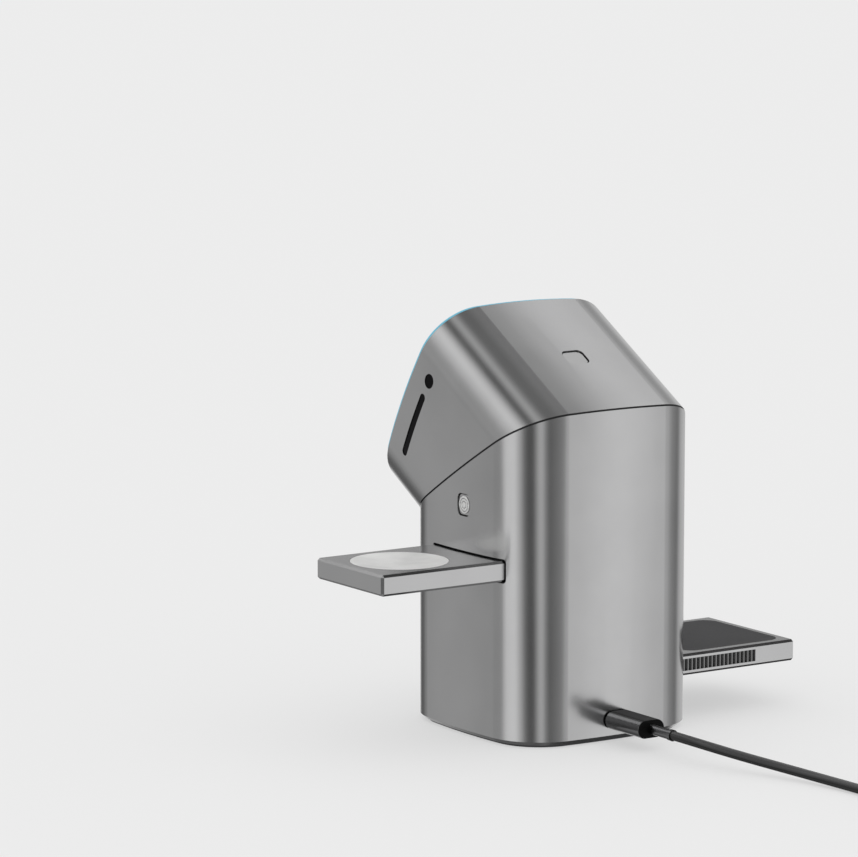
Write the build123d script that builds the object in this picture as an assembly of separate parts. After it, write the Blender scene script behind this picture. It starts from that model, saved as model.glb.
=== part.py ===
from build123d import *
import math
import os

# Wireless charging stand in millimetres, +Z up, front along -Y.
# The origin is the centre of the base on the surface it stands on.

# Housing: a rounded-square tube that turns forward at a mitre
BODY_HALF = 35.25
CORNER_R = 18.0
CROWN_R = 215.0
WALL = 2.0
FOOT_H = 0.8
BASE_CHAMFER = 1.2
ELBOW_Z = 82.7
MITRE_DEG = 30.0
HEAD_REACH = 36.4
RIM_CHAMFER = 0.7
SEAM = 0.6
SEAM_RECESS = 0.5
COLLAR_T = 1.6
COLLAR_REACH = 4.0
SEAT_GAP = 0.08

# Base
FOOT_INSET = 2.5
BASE_T = 2.8
BALLAST_H = 8.0
BALLAST_HALF_X = 27.0
BALLAST_HALF_Y = 27.5
BALLAST_CORNER = 8.0
BALLAST_ROOM = 4.0
SCREW_PITCH = 44.0
SCREW_HEAD_R = 2.3
SCREW_HEAD_H = 1.3
SCREW_R = 1.25
SCREW_LENGTH = 8.5
SCREW_GAP = 0.1

# Inner frame
PLATE_T = 2.0
PLATE_Y = 29.0
PLATE_HALF_X = 21.0
DECK_T = 1.6
RAIL_T = 1.6
SLIDE_GAP = 0.15
SLOT_GAP = 0.5
SLOT_CORNER = 1.2
BOARD_Z = 30.0
BOARD_T = 1.6
BOARD_X = 46.0
BOARD_Y = 42.0
POST_R = 2.5
POST_EDGE = 0.5
PLATE_BAND = 6.0
CHOKE_SIZE = 10.0
CHOKE_H = 4.5
CAPACITOR_R = 4.0
CAPACITOR_H = 8.0
PACKAGE_SIZE = 7.0
PACKAGE_H = 1.2

# Places of the tall parts as shares of the board's length and depth
CHOKE_PLACES = [(-0.28, -0.17), (0.02, -0.17)]
CAPACITOR_PLACE = (0.30, -0.19)
PACKAGE_PLACES = [(-0.30, 0.20), (-0.04, 0.20), (0.22, 0.20)]

# Upper arm
ARM_Z = 51.0
ARM_H = 6.5
ARM_FRONT_Y = -14.05
ARM_BACK_Y = 22.65
ARM_REACH = 42.55
ARM_LENGTH = 65.0
EDGE_CHAMFER = 0.75
TRAY_WALL = 2.0
TRAY_TOP = 1.5
COVER_T = 1.0
COVER_STEP = 0.9
PUCK_R = 15.0
PUCK_T = 2.2
PUCK_LIP = 1.0
PUCK_END = 3.2
PUCK_RIM = 1.2
PUCK_DISH_R = 130.0
PUCK_COIL_R = 13.5
PUCK_MAGNET_R = 5.0
COIL_T = 1.0
COIL_MARGIN = 0.5

# Lower shelf
SHELF_Z = 14.1
SHELF_H = 6.8
SHELF_HALF_Y = 22.5
SHELF_REACH = 43.6
SHELF_LENGTH = 65.0
SHELF_PAD_T = 0.7
SHELF_PAD_X = 38.0
SHELF_PAD_Y = 39.0
SHELF_PAD_INSET = 2.6
SHELF_PAD_CORNER = 5.0
SHELF_COIL_R = 17.0
SHELF_COIL_IN_R = 6.5
PILLAR_INSET = 4.0

# Rack and damper gear
MODULE = 0.5
GEAR_TEETH = 12
PRESSURE_DEG = 20.0
RACK_TEETH = 31
RACK_END = 1.3
RACK_H = 3.8
RACK_DEPTH = 1.1
RACK_OUT = 0.2
GEAR_X = 17.0
GEAR_T = 3.3
GEAR_OUTER_R = 3.42
GEAR_ROOT_R = 2.25
GEAR_TOOTH = 0.68
GEAR_TIP = 0.32
GEAR_MESH_GAP = 0.05
GEAR_SHAFT_R = 0.9
SHAFT_GAP = 0.05
DAMPER_R = 3.85
DAMPER_H = 4.0
DAMPER_LID = 0.7
SHAFT_SHORT = 1.0
GEAR_POCKET = 8.4

# Head face
GUIDE_INSET = 0.95
GUIDE_BACK = 2.4
GUIDE_PROUD = 0.8
GUIDE_T = 2.95
RING_BOARD_T = 1.2
FACE_GAP = 0.05
FACE_PROUD = 0.5
FACE_SKIN = 1.2
FACE_SKIRT_T = 1.6
PAD_R = 29.0
PAD_T = 1.3
PAD_CHAMFER = 0.43
TRAY_PLATE_T = 1.6
SINK_HALF = 27.5
SINK_T = 2.2
FIN_H = 9.0
FIN_T = 1.2
FIN_COUNT = 9
FIN_PITCH = 5.4
FIN_LENGTH = 36.0
MAGNET_COUNT = 16
MAGNET_R = 27.4
MAGNET_IN_R = 23.4
MAGNET_GAP_DEG = 3.0
PACK_T = 1.7
COIL_OUT_R = 21.5
COIL_IN_R = 9.5
FERRITE_R = 27.8
FERRITE_T = 0.8

# Windows in the side of the head
WINDOW_BACK = 9.3
DOT_R = 2.3
DOT_UP = 13.6
SLOT_W = 2.7
SLOT_L = 23.6
SLOT_UP = -3.25
WINDOW_RECESS = 0.3
WINDOW_GAP = 0.04
WINDOW_DEPTH = 0.8

# Push buttons
TOP_BUTTON_X = 7.8
TOP_BUTTON_Y = 6.8
TOP_BUTTON_REACH = 6.1
SIDE_BUTTON_X = 6.6
SIDE_BUTTON_Y = 7.0
SIDE_BUTTON_BACK = 3.0
SIDE_BUTTON_DROP = 10.5
BUTTON_CORNER = 1.9
BUTTON_GAP = 0.25
BUTTON_SUNK = 0.45
BUTTON_EDGE = 0.15
BOSS_R = 2.75
BOSS_H = 0.3
BOSS_GROOVES = (2.0, 1.1)
GROOVE_W = 0.3
GROOVE_DEEP = 0.15
BUTTON_TRAVEL = 0.6
BUTTON_FLANGE = 1.0
FLANGE_T = 0.8
FLANGE_GAP = 0.2
SWITCH_SIZE = 4.6
SWITCH_H = 1.8
SWITCH_NIB_H = 0.5
SWITCH_NIB_R = 1.3
BRACKET_T = 1.2
BRACKET_W = 8.0
BRACKET_ROOM = 0.5

# Power port and lead
PORT_Z = 6.9
PORT_W = 8.9
PORT_H = 3.26
PORT_WALL = 0.28
PORT_DEPTH = 7.4
PORT_MOUTH = 0.35
PORT_BACK_T = 0.6
PORT_ROOM_X = 2.5
PORT_ROOM_Z = 1.0
TONGUE_W = 6.6
TONGUE_H = 0.7
TONGUE_L = 4.4
PORT_BOARD_T = 1.0
PORT_BOARD_REACH = 8.0
PORT_BOARD_SIDE = 2.0
PORT_BOARD_EDGE = 1.0
PORT_PAD_W = 4.0
PORT_PAD_L = 5.0
PLUG_W = 8.25
PLUG_H = 2.42
PLUG_CORE_W = 7.0
PLUG_CORE_H = 1.1
PLUG_LENGTH = 6.5
PLUG_BACK = 1.3
GRIP_W = 9.8
GRIP_H = 5.6
GRIP_LENGTH = 17.6
GRIP_GAP = 0.15
GRIP_FILLET = 0.6
NECK_R = 1.55
NECK_LENGTH = 9.4
NECK_RING_R = 1.75
NECK_RING_L = 1.5
CABLE_R = 1.45
COIL_RADIUS = 17.4
COIL_WIDTH = 9.1
COIL_HEIGHT = 5.9
COIL_CENTRE = (-38.3, 156.0)
BEND_SHARE = 0.45

mitre = math.radians(MITRE_DEG)
head_axis = Vector(0, -math.sin(2 * mitre), math.cos(2 * mitre))
head_up = Vector(0, math.cos(2 * mitre), math.sin(2 * mitre))
mitre_normal = Vector(0, -math.sin(mitre), math.cos(mitre))
elbow = Vector(0, 0, ELBOW_Z)
mitre_plane = Plane(origin=elbow, x_dir=(1, 0, 0), z_dir=mitre_normal)
head_plane = Plane(origin=elbow, x_dir=(1, 0, 0), z_dir=head_axis)
LONG = 200.0
OVER = 1.5


def squircle(half):
    """Rounded square whose sides are shallow crowns that run into the corner arcs."""
    corner = CORNER_R - (BODY_HALF - half)
    crown = CROWN_R - (BODY_HALF - half)
    back = crown - half
    centre = (math.sqrt(2 * (crown - corner) ** 2 - back ** 2) - back) / 2
    along = crown / (crown - corner)
    far = (centre + back) * along - back
    near = centre * along
    middle = centre + corner / math.sqrt(2)
    side = ThreePointArc((far, -near), (half, 0), (far, near))
    bend = ThreePointArc((far, near), (middle, middle), (near, far))
    arcs = [edge.rotate(Axis.Z, 90 * n) for n in range(4) for edge in (side, bend)]
    return make_face(arcs)


def column_prism(half, low, high):
    return extrude(Pos(0, 0, low) * squircle(half), amount=high - low)


def head_prism(half, low, high):
    return extrude(head_plane.offset(low) * squircle(half), amount=high - low)


def below(solid, offset):
    return split(solid, bisect_by=mitre_plane.offset(offset), keep=Keep.BOTTOM)


def above(solid, offset):
    return split(solid, bisect_by=mitre_plane.offset(offset), keep=Keep.TOP)


def block(x0, x1, y0, y1, z0, z1):
    box = Box(x1 - x0, y1 - y0, z1 - z0)
    return Pos((x0 + x1) / 2, (y0 + y1) / 2, (z0 + z1) / 2) * box


def disc(plane, radius, low, high):
    return extrude(plane.offset(low) * Circle(radius), amount=high - low)


def moved(plane, x, y):
    return Plane(plane * Pos(x, y))


def ring(plane, outer, inner, low, high):
    return disc(plane, outer, low, high) - disc(plane, inner, low, high)


# Planes of the buttons and windows
side_plane = Plane(
    origin=(BODY_HALF, SIDE_BUTTON_BACK, ELBOW_Z - SIDE_BUTTON_DROP), x_dir=(0, 1, 0), z_dir=(1, 0, 0)
)
top_plane = Plane(
    origin=elbow + head_up * BODY_HALF + head_axis * TOP_BUTTON_REACH, x_dir=(1, 0, 0), z_dir=head_up
)
window_plane = Plane(
    origin=elbow + Vector(BODY_HALF, 0, 0) + head_axis * (HEAD_REACH - WINDOW_BACK),
    x_dir=head_up,
    z_dir=(1, 0, 0),
)
port_plane = Plane(origin=(0, BODY_HALF, PORT_Z), x_dir=(1, 0, 0), z_dir=(0, 1, 0))

inner_half = BODY_HALF - WALL
arm_tail = BODY_HALF + ARM_REACH - ARM_LENGTH
arm_end = BODY_HALF + ARM_REACH
shelf_tail = -(BODY_HALF + SHELF_REACH - SHELF_LENGTH)
shelf_end = -(BODY_HALF + SHELF_REACH)
pitch = math.pi * MODULE
gear_r = MODULE * GEAR_TEETH / 2


def through(plane, sketch):
    """Cutter through the wall at a plane that lies on the outer face."""
    return extrude(plane.offset(-WALL - OVER) * sketch, amount=WALL + 2 * OVER)


# Housing

def arm_slot(x0, x1, y0, y1, z0, height):
    """Opening of the wall round a sliding arm, with rounded corners."""
    wide = y1 - y0 + 2 * SLOT_GAP
    tall = height + 2 * SLOT_GAP
    plane = Plane(origin=(x0, (y0 + y1) / 2, z0 + height / 2), x_dir=(0, 1, 0), z_dir=(1, 0, 0))
    return extrude(plane * RectangleRounded(wide, tall, SLOT_CORNER), amount=x1 - x0)


def column_shell():
    outer = column_prism(BODY_HALF, FOOT_H, ELBOW_Z + BODY_HALF)
    outer = chamfer(outer.edges().group_by(Axis.Z)[0], BASE_CHAMFER)
    tube = below(outer - column_prism(inner_half, FOOT_H, ELBOW_Z + BODY_HALF), -SEAM / 2)
    tube -= arm_slot(BODY_HALF / 2, BODY_HALF + OVER, ARM_FRONT_Y, ARM_BACK_Y, ARM_Z, ARM_H)
    tube -= arm_slot(-BODY_HALF - OVER, -BODY_HALF / 2, -SHELF_HALF_Y, SHELF_HALF_Y, SHELF_Z, SHELF_H)
    tube -= through(side_plane, button_hole(SIDE_BUTTON_X, SIDE_BUTTON_Y))
    tube -= through(port_plane, SlotOverall(PORT_W + 2 * GRIP_GAP, PORT_H + 2 * GRIP_GAP))
    return tube


def head_shell():
    outer = head_prism(BODY_HALF, -BODY_HALF, HEAD_REACH)
    outer = chamfer(outer.edges().group_by(Axis((0, 0, 0), head_axis))[-1], RIM_CHAMFER)
    tube = outer - head_prism(inner_half, -BODY_HALF, HEAD_REACH)
    tube -= head_prism(BODY_HALF - GUIDE_INSET + FACE_GAP, HEAD_REACH - GUIDE_BACK, HEAD_REACH)
    tube = above(tube, SEAM / 2)
    tube -= through(top_plane, button_hole(TOP_BUTTON_X, TOP_BUTTON_Y))
    tube -= through(moved(window_plane, DOT_UP, 0), Circle(DOT_R))
    tube -= through(moved(window_plane, SLOT_UP, 0), SlotOverall(SLOT_L, SLOT_W))
    return tube


def seam_gasket():
    tube = column_prism(BODY_HALF - SEAM_RECESS, FOOT_H, ELBOW_Z + BODY_HALF)
    tube -= column_prism(inner_half + SEAM / 2, FOOT_H, ELBOW_Z + BODY_HALF)
    return above(below(tube, SEAM / 2), -SEAM / 2)


def mitre_collar():
    outer = inner_half - SEAT_GAP
    lower = column_prism(outer, FOOT_H, ELBOW_Z + BODY_HALF)
    lower -= column_prism(outer - COLLAR_T, FOOT_H, ELBOW_Z + BODY_HALF)
    upper = head_prism(outer, -BODY_HALF, HEAD_REACH)
    upper -= head_prism(outer - COLLAR_T, -BODY_HALF, HEAD_REACH)
    return above(below(lower, 0), -COLLAR_REACH) + below(above(upper, 0), COLLAR_REACH)


def window(sketch, up):
    solid = extrude(window_plane.offset(-WALL - WINDOW_DEPTH) * Pos(up, 0) * sketch, amount=WALL * 2)
    return solid & head_prism(BODY_HALF - WINDOW_RECESS, 0, HEAD_REACH)


# Buttons

def button_hole(wide, deep):
    return RectangleRounded(wide, deep, BUTTON_CORNER)


def button(plane, wide, deep):
    """Cap sunk a little in its hole, held in the wall by a flange behind it."""
    cap = RectangleRounded(wide - 2 * BUTTON_GAP, deep - 2 * BUTTON_GAP, BUTTON_CORNER - BUTTON_GAP)
    skirt = RectangleRounded(wide + BUTTON_FLANGE, deep + BUTTON_FLANGE, BUTTON_CORNER)
    flange_top = -WALL - FLANGE_GAP
    solid = extrude(plane.offset(flange_top) * cap, amount=-BUTTON_SUNK - flange_top)
    solid = chamfer(solid.edges().group_by(Axis(plane.origin, plane.z_dir))[-1], BUTTON_EDGE)
    solid += extrude(plane.offset(flange_top - FLANGE_T) * skirt, amount=FLANGE_T)
    return solid


def side_button():
    """Cap with a round boss that two ring grooves mark."""
    cap_top = -BUTTON_SUNK
    boss_top = cap_top + BOSS_H
    boss = disc(side_plane, BOSS_R, cap_top, boss_top)
    boss = chamfer(boss.edges().group_by(Axis(side_plane.origin, side_plane.z_dir))[-1], BUTTON_EDGE)
    for radius in BOSS_GROOVES:
        boss -= ring(side_plane, radius + GROOVE_W / 2, radius - GROOVE_W / 2, boss_top - GROOVE_DEEP, boss_top)
    return button(side_plane, SIDE_BUTTON_X, SIDE_BUTTON_Y) + boss


def switch_top():
    return -WALL - FLANGE_GAP - FLANGE_T - BUTTON_TRAVEL - SEAT_GAP


def switch(plane):
    low = switch_top() - SWITCH_H
    shoulder = switch_top() - SWITCH_NIB_H
    body = extrude(plane.offset(low) * Rectangle(SWITCH_SIZE, SWITCH_SIZE), amount=shoulder - low)
    return body + disc(plane, SWITCH_NIB_R, shoulder, switch_top())


def bracket(plane, wide):
    """U-shaped bridge on the inside of the wall that carries a switch."""
    low = switch_top() - SWITCH_H - BRACKET_T
    high = -WALL - FLANGE_GAP
    span = wide + BUTTON_FLANGE + 2 * (BRACKET_T + BRACKET_ROOM)
    bridge = extrude(plane.offset(low) * Rectangle(span, BRACKET_W), amount=high - low)
    room = Rectangle(span - 2 * BRACKET_T, BRACKET_W + OVER)
    return bridge - extrude(plane.offset(low + BRACKET_T) * room, amount=high - low)


# Base

def screw_places():
    half = SCREW_PITCH / 2
    return [(-half, -half), (half, -half), (half, half), (-half, half)]


base_top = FOOT_H + BASE_T
port_board_top = PORT_Z - PORT_H / 2
port_back = BODY_HALF - PORT_MOUTH - PORT_DEPTH


def foot_pad():
    return column_prism(BODY_HALF - FOOT_INSET, 0, FOOT_H)


def base_plate():
    plate = column_prism(inner_half - SEAT_GAP, FOOT_H, base_top)
    for x, y in screw_places():
        plate -= disc(moved(Plane.XY, x, y), SCREW_HEAD_R + SCREW_GAP, FOOT_H, FOOT_H + SCREW_HEAD_H)
        plate -= disc(moved(Plane.XY, x, y), SCREW_R + SCREW_GAP, FOOT_H, base_top)
    for side in (-1, 1):
        low_x = (side * PORT_W - PORT_PAD_W) / 2
        high_y = port_back + PORT_PAD_L
        plate += block(low_x, low_x + PORT_PAD_W, port_back, high_y, base_top, port_board_top - PORT_BOARD_T)
    return plate


def base_screw(x, y):
    place = moved(Plane.XY, x, y)
    head = disc(place, SCREW_HEAD_R, FOOT_H, FOOT_H + SCREW_HEAD_H)
    return head + disc(place, SCREW_R, FOOT_H + SCREW_HEAD_H, FOOT_H + SCREW_LENGTH)


def ballast():
    outline = RectangleRounded(2 * BALLAST_HALF_X, 2 * BALLAST_HALF_Y, BALLAST_CORNER)
    solid = extrude(Pos(0, 0, base_top) * outline, amount=BALLAST_H)
    room = PORT_W / 2 + BALLAST_ROOM
    near = port_back - PORT_BOARD_REACH - PORT_BOARD_SIDE
    solid -= block(-room, room, near, BODY_HALF, base_top - OVER, base_top + BALLAST_H + OVER)
    for x, y in screw_places():
        solid -= disc(moved(Plane.XY, x, y), SCREW_R + SCREW_GAP / 2, base_top, FOOT_H + SCREW_LENGTH + OVER)
    return solid


# Inner frame

def chassis_plate(side):
    """Upright that carries both guides, seated on the base plate."""
    high = ARM_Z + ARM_H + SLIDE_GAP + DECK_T
    plate = block(-PLATE_HALF_X, PLATE_HALF_X, PLATE_Y, PLATE_Y + PLATE_T, base_top, high)
    window_high = ARM_Z - SLIDE_GAP - DECK_T - PLATE_BAND
    window_low = SHELF_Z + SHELF_H + SLIDE_GAP + DECK_T + PLATE_BAND
    window_half = PLATE_HALF_X - PLATE_BAND
    plate -= block(-window_half, window_half, 0, LONG, window_low, window_high)
    if side > 0:
        room = PORT_W / 2 + PORT_ROOM_X
        return plate - block(-room, room, 0, LONG, 0, PORT_Z + PORT_H / 2 + PORT_ROOM_Z)
    return mirror(plate, about=Plane.XZ)


def guide(y0, y1, z, height, gear_x, gear_y, toward):
    """Two decks and two rails round an arm, with a pocket for the gear that meshes with its rack."""
    low = z - SLIDE_GAP - DECK_T
    high = z + height + SLIDE_GAP + DECK_T
    solid = block(-LONG, LONG, -PLATE_Y, PLATE_Y, low, high)
    solid -= block(-LONG, LONG, y0 - SLIDE_GAP, y1 + SLIDE_GAP, low + DECK_T, high - DECK_T)
    front_cell = (-PLATE_Y + RAIL_T, y0 - SLIDE_GAP - RAIL_T)
    back_cell = (y1 + SLIDE_GAP + RAIL_T, PLATE_Y - RAIL_T)
    for start, stop in (front_cell, back_cell):
        solid -= block(-LONG, LONG, start, stop, low + DECK_T, high - DECK_T)
    solid &= column_prism(inner_half - SEAT_GAP, low, high)
    half = GEAR_POCKET / 2
    inside = gear_y - toward * half
    outside = gear_y + toward * half
    near, far = min(inside, outside), max(inside, outside)
    solid -= block(gear_x - half, gear_x + half, near, far, low + DECK_T, high - DECK_T)
    solid -= disc(moved(Plane.XY, gear_x, gear_y), GEAR_SHAFT_R + SHAFT_GAP, low, high)
    return solid


def gear_place(face_y, toward):
    return face_y + toward * (gear_r - MODULE + GEAR_MESH_GAP)


arm_gear_y = gear_place(ARM_FRONT_Y, -1)
shelf_gear_y = gear_place(SHELF_HALF_Y, 1)


def arm_guide():
    return guide(ARM_FRONT_Y, ARM_BACK_Y, ARM_Z, ARM_H, GEAR_X, arm_gear_y, -1)


def shelf_guide():
    solid = guide(-SHELF_HALF_Y, SHELF_HALF_Y, SHELF_Z, SHELF_H, -GEAR_X, shelf_gear_y, 1)
    top = SHELF_Z + SHELF_H + SLIDE_GAP + DECK_T
    for x, y in board_posts():
        solid += disc(moved(Plane.XY, x, y), POST_R, top, BOARD_Z)
    return solid


def board_posts():
    half_x = BOARD_X / 2 - POST_R - POST_EDGE
    half_y = BOARD_Y / 2 - POST_R - POST_EDGE
    return [(-half_x, -half_y), (half_x, -half_y), (half_x, half_y), (-half_x, half_y)]


def main_board():
    """Circuit board with its tall parts: two power coils, a capacitor and three packages."""
    top = BOARD_Z + BOARD_T
    solid = block(-BOARD_X / 2, BOARD_X / 2, -BOARD_Y / 2, BOARD_Y / 2, BOARD_Z, top)
    for places, size, high in ((CHOKE_PLACES, CHOKE_SIZE, CHOKE_H), (PACKAGE_PLACES, PACKAGE_SIZE, PACKAGE_H)):
        for share_x, share_y in places:
            low_x = share_x * BOARD_X - size / 2
            low_y = share_y * BOARD_Y - size / 2
            solid += block(low_x, low_x + size, low_y, low_y + size, top, top + high)
    share_x, share_y = CAPACITOR_PLACE
    solid += disc(moved(Plane.XY, share_x * BOARD_X, share_y * BOARD_Y), CAPACITOR_R, top, top + CAPACITOR_H)
    return solid


def rack_cut(x_start, face_y, toward, z, height):
    """Grooves between the teeth of a rack sunk in the side of an arm."""
    slope = math.tan(math.radians(PRESSURE_DEG))
    mouth = pitch / 4 + MODULE * slope
    root = mouth - RACK_DEPTH * slope
    lip = mouth + RACK_OUT * slope
    deep = -toward * RACK_DEPTH
    low = z + (height - RACK_H) / 2
    outline = Polyline(
        (-lip, toward * RACK_OUT), (lip, toward * RACK_OUT), (root, deep), (-root, deep), close=True
    )
    groove = extrude(Pos(0, face_y, low) * make_face(outline), amount=RACK_H)
    return [Pos(x_start + pitch * n, 0, 0) * groove for n in range(RACK_TEETH)]


def gear(gear_x, gear_y, z, height):
    """Small pinion on a plain shaft. At rest a tooth points at the rack, in the middle of a groove."""
    tooth = Polyline(
        (-GEAR_TOOTH / 2, 0),
        (-GEAR_TOOTH / 2, gear_r),
        (-GEAR_TIP / 2, GEAR_OUTER_R),
        (GEAR_TIP / 2, GEAR_OUTER_R),
        (GEAR_TOOTH / 2, gear_r),
        (GEAR_TOOTH / 2, 0),
        close=True,
    )
    one = extrude(make_face(tooth), amount=GEAR_T)
    wheel = extrude(Circle(GEAR_ROOT_R), amount=GEAR_T)
    for n in range(GEAR_TEETH):
        wheel += one.rotate(Axis.Z, 360 / GEAR_TEETH * n)
    low = z - SLIDE_GAP - DECK_T
    high = z + height + SLIDE_GAP + DECK_T + DAMPER_H - SHAFT_SHORT
    shaft = extrude(Pos(0, 0, low) * Circle(GEAR_SHAFT_R), amount=high - low)
    wheel = Pos(0, 0, z + (height - GEAR_T) / 2) * wheel + shaft
    return Pos(gear_x, gear_y, 0) * wheel


def damper(gear_x, gear_y, z, height):
    low = z + height + SLIDE_GAP + DECK_T
    place = moved(Plane.XY, gear_x, gear_y)
    solid = disc(place, DAMPER_R, low, low + DAMPER_H)
    return solid - disc(place, GEAR_SHAFT_R + SHAFT_GAP, low, low + DAMPER_H - DAMPER_LID)


def tooth_start(tail, toward_end, gear_x):
    """Middle of the first groove, set so that one groove lies square to the gear at rest."""
    first = tail + toward_end * (RACK_END + pitch / 2)
    steps = round((gear_x - first) / pitch)
    return gear_x - steps * pitch


# Arms

def arm_blank(x0, x1, y0, y1, z, height):
    blank = block(x0, x1, y0, y1, z, z + height)
    return chamfer(blank.edges(), EDGE_CHAMFER)


puck_x = arm_end - PUCK_R - PUCK_END
puck_y = (ARM_FRONT_Y + ARM_BACK_Y) / 2
puck_plane = moved(Plane.XY, puck_x, puck_y)
arm_top = ARM_Z + ARM_H
shelf_top = SHELF_Z + SHELF_H
pad_x = shelf_end + SHELF_PAD_INSET + SHELF_PAD_X / 2
pad_plane = moved(Plane.XY, pad_x, 0)


def tray(x0, x1, y0, y1, z, height):
    """Blank hollowed from below, with a step round the hollow for the cover."""
    solid = arm_blank(x0, x1, y0, y1, z, height)
    w = TRAY_WALL
    solid -= block(x0 + w, x1 - w, y0 + w, y1 - w, z + COVER_T, z + height - TRAY_TOP)
    w = TRAY_WALL - COVER_STEP
    return solid - block(x0 + w, x1 - w, y0 + w, y1 - w, z - OVER, z + COVER_T)


def tray_cover(x0, x1, y0, y1, z):
    w = TRAY_WALL - COVER_STEP + SEAT_GAP
    return block(x0 + w, x1 - w, y0 + w, y1 - w, z, z + COVER_T)


def arm_frame():
    solid = tray(arm_tail, arm_end, ARM_FRONT_Y, ARM_BACK_Y, ARM_Z, ARM_H)
    solid -= disc(puck_plane, PUCK_R + SEAT_GAP, arm_top - TRAY_TOP - OVER, arm_top + OVER)
    start = tooth_start(arm_tail, 1, GEAR_X)
    return solid - rack_cut(start, ARM_FRONT_Y, -1, ARM_Z, ARM_H)


def arm_puck():
    """Round dish that sits flush in the arm, with a lip below the skin."""
    solid = disc(puck_plane, PUCK_R, arm_top - PUCK_T, arm_top)
    solid += disc(puck_plane, PUCK_R + PUCK_LIP, arm_top - PUCK_T, arm_top - TRAY_TOP)
    edge_drop = PUCK_DISH_R - math.sqrt(PUCK_DISH_R ** 2 - (PUCK_R - PUCK_RIM) ** 2)
    ball = Pos(puck_x, puck_y, arm_top + PUCK_DISH_R - edge_drop) * Sphere(PUCK_DISH_R)
    return solid - ball


def arm_coil():
    top = arm_top - PUCK_T
    return ring(puck_plane, PUCK_COIL_R, PUCK_MAGNET_R + COIL_MARGIN, top - COIL_T, top)


def arm_magnet():
    top = arm_top - PUCK_T
    return disc(puck_plane, PUCK_MAGNET_R, top - COIL_T, top)


def arm_board():
    top = arm_top - PUCK_T - COIL_T
    return disc(puck_plane, PUCK_COIL_R + COIL_MARGIN, ARM_Z + COVER_T, top)


def shelf_frame():
    solid = tray(shelf_end, shelf_tail, -SHELF_HALF_Y, SHELF_HALF_Y, SHELF_Z, SHELF_H)
    recess = pad_plane * RectangleRounded(SHELF_PAD_X, SHELF_PAD_Y, SHELF_PAD_CORNER)
    solid -= extrude(Pos(0, 0, shelf_top - SHELF_PAD_T) * recess, amount=SHELF_PAD_T + OVER)
    start = tooth_start(shelf_tail, -1, -GEAR_X)
    count = RACK_TEETH - 1
    return solid - rack_cut(start - count * pitch, SHELF_HALF_Y, 1, SHELF_Z, SHELF_H)


def shelf_pad():
    wide = SHELF_PAD_X - 2 * SEAT_GAP
    deep = SHELF_PAD_Y - 2 * SEAT_GAP
    outline = pad_plane * RectangleRounded(wide, deep, SHELF_PAD_CORNER - SEAT_GAP)
    return extrude(Pos(0, 0, shelf_top - SHELF_PAD_T) * outline, amount=SHELF_PAD_T)


def shelf_coil():
    top = shelf_top - TRAY_TOP
    return ring(pad_plane, SHELF_COIL_R, SHELF_COIL_IN_R, top - COIL_T, top)


def shelf_ferrite():
    top = shelf_top - TRAY_TOP - COIL_T
    half = SHELF_COIL_R + COIL_MARGIN
    return block(pad_x - half, pad_x + half, -half, half, top - FERRITE_T, top)


def shelf_cover():
    """Cover with four pillars that press the coil up against the skin."""
    solid = tray_cover(shelf_end, shelf_tail, -SHELF_HALF_Y, SHELF_HALF_Y, SHELF_Z)
    top = shelf_top - TRAY_TOP - COIL_T - FERRITE_T
    reach = SHELF_COIL_R - PILLAR_INSET
    for x in (-reach, reach):
        for y in (-reach, reach):
            solid += disc(moved(pad_plane, x, y), POST_R, SHELF_Z + COVER_T, top)
    return solid


# Face of the head

guide_low = HEAD_REACH - GUIDE_BACK
guide_half = BODY_HALF - GUIDE_INSET
face_half = guide_half - GUIDE_T - FACE_GAP
tray_low = guide_low - RING_BOARD_T - TRAY_PLATE_T
face_top = HEAD_REACH + FACE_PROUD
skin_low = face_top - FACE_SKIN


def light_guide():
    solid = head_prism(guide_half, guide_low, HEAD_REACH + GUIDE_PROUD)
    return solid - head_prism(guide_half - GUIDE_T, guide_low, HEAD_REACH + GUIDE_PROUD)


def ring_board():
    solid = head_prism(inner_half - SEAT_GAP, guide_low - RING_BOARD_T, guide_low)
    return solid - head_prism(face_half + SEAT_GAP, guide_low - RING_BOARD_T, guide_low)


def head_tray():
    solid = head_prism(inner_half - SEAT_GAP, tray_low, tray_low + TRAY_PLATE_T)
    return solid - head_prism(SINK_HALF + SEAT_GAP, tray_low, tray_low + TRAY_PLATE_T)


def face_plate():
    low = guide_low - RING_BOARD_T
    solid = head_prism(face_half, low, face_top)
    return solid - head_prism(face_half - FACE_SKIRT_T, low, skin_low)


def face_pad():
    pad = disc(head_plane, PAD_R, face_top, face_top + PAD_T)
    return chamfer(pad.edges().group_by(Axis((0, 0, 0), head_axis))[-1], PAD_CHAMFER)


def magnet_ring():
    """Sixteen arc magnets round the coil, each in its own place."""
    whole = ring(head_plane, MAGNET_R, MAGNET_IN_R, skin_low - PACK_T, skin_low)
    gap = 2 * MAGNET_R * math.sin(math.radians(MAGNET_GAP_DEG / 2))
    for n in range(MAGNET_COUNT // 2):
        bar = extrude(head_plane.offset(skin_low - PACK_T) * Rectangle(LONG, gap), amount=PACK_T)
        whole -= bar.rotate(Axis(elbow, head_axis), 360 / MAGNET_COUNT * n)
    return whole


def face_coil():
    return ring(head_plane, COIL_OUT_R, COIL_IN_R, skin_low - PACK_T, skin_low)


def face_ferrite():
    return disc(head_plane, FERRITE_R, skin_low - PACK_T - FERRITE_T, skin_low - PACK_T)


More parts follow.
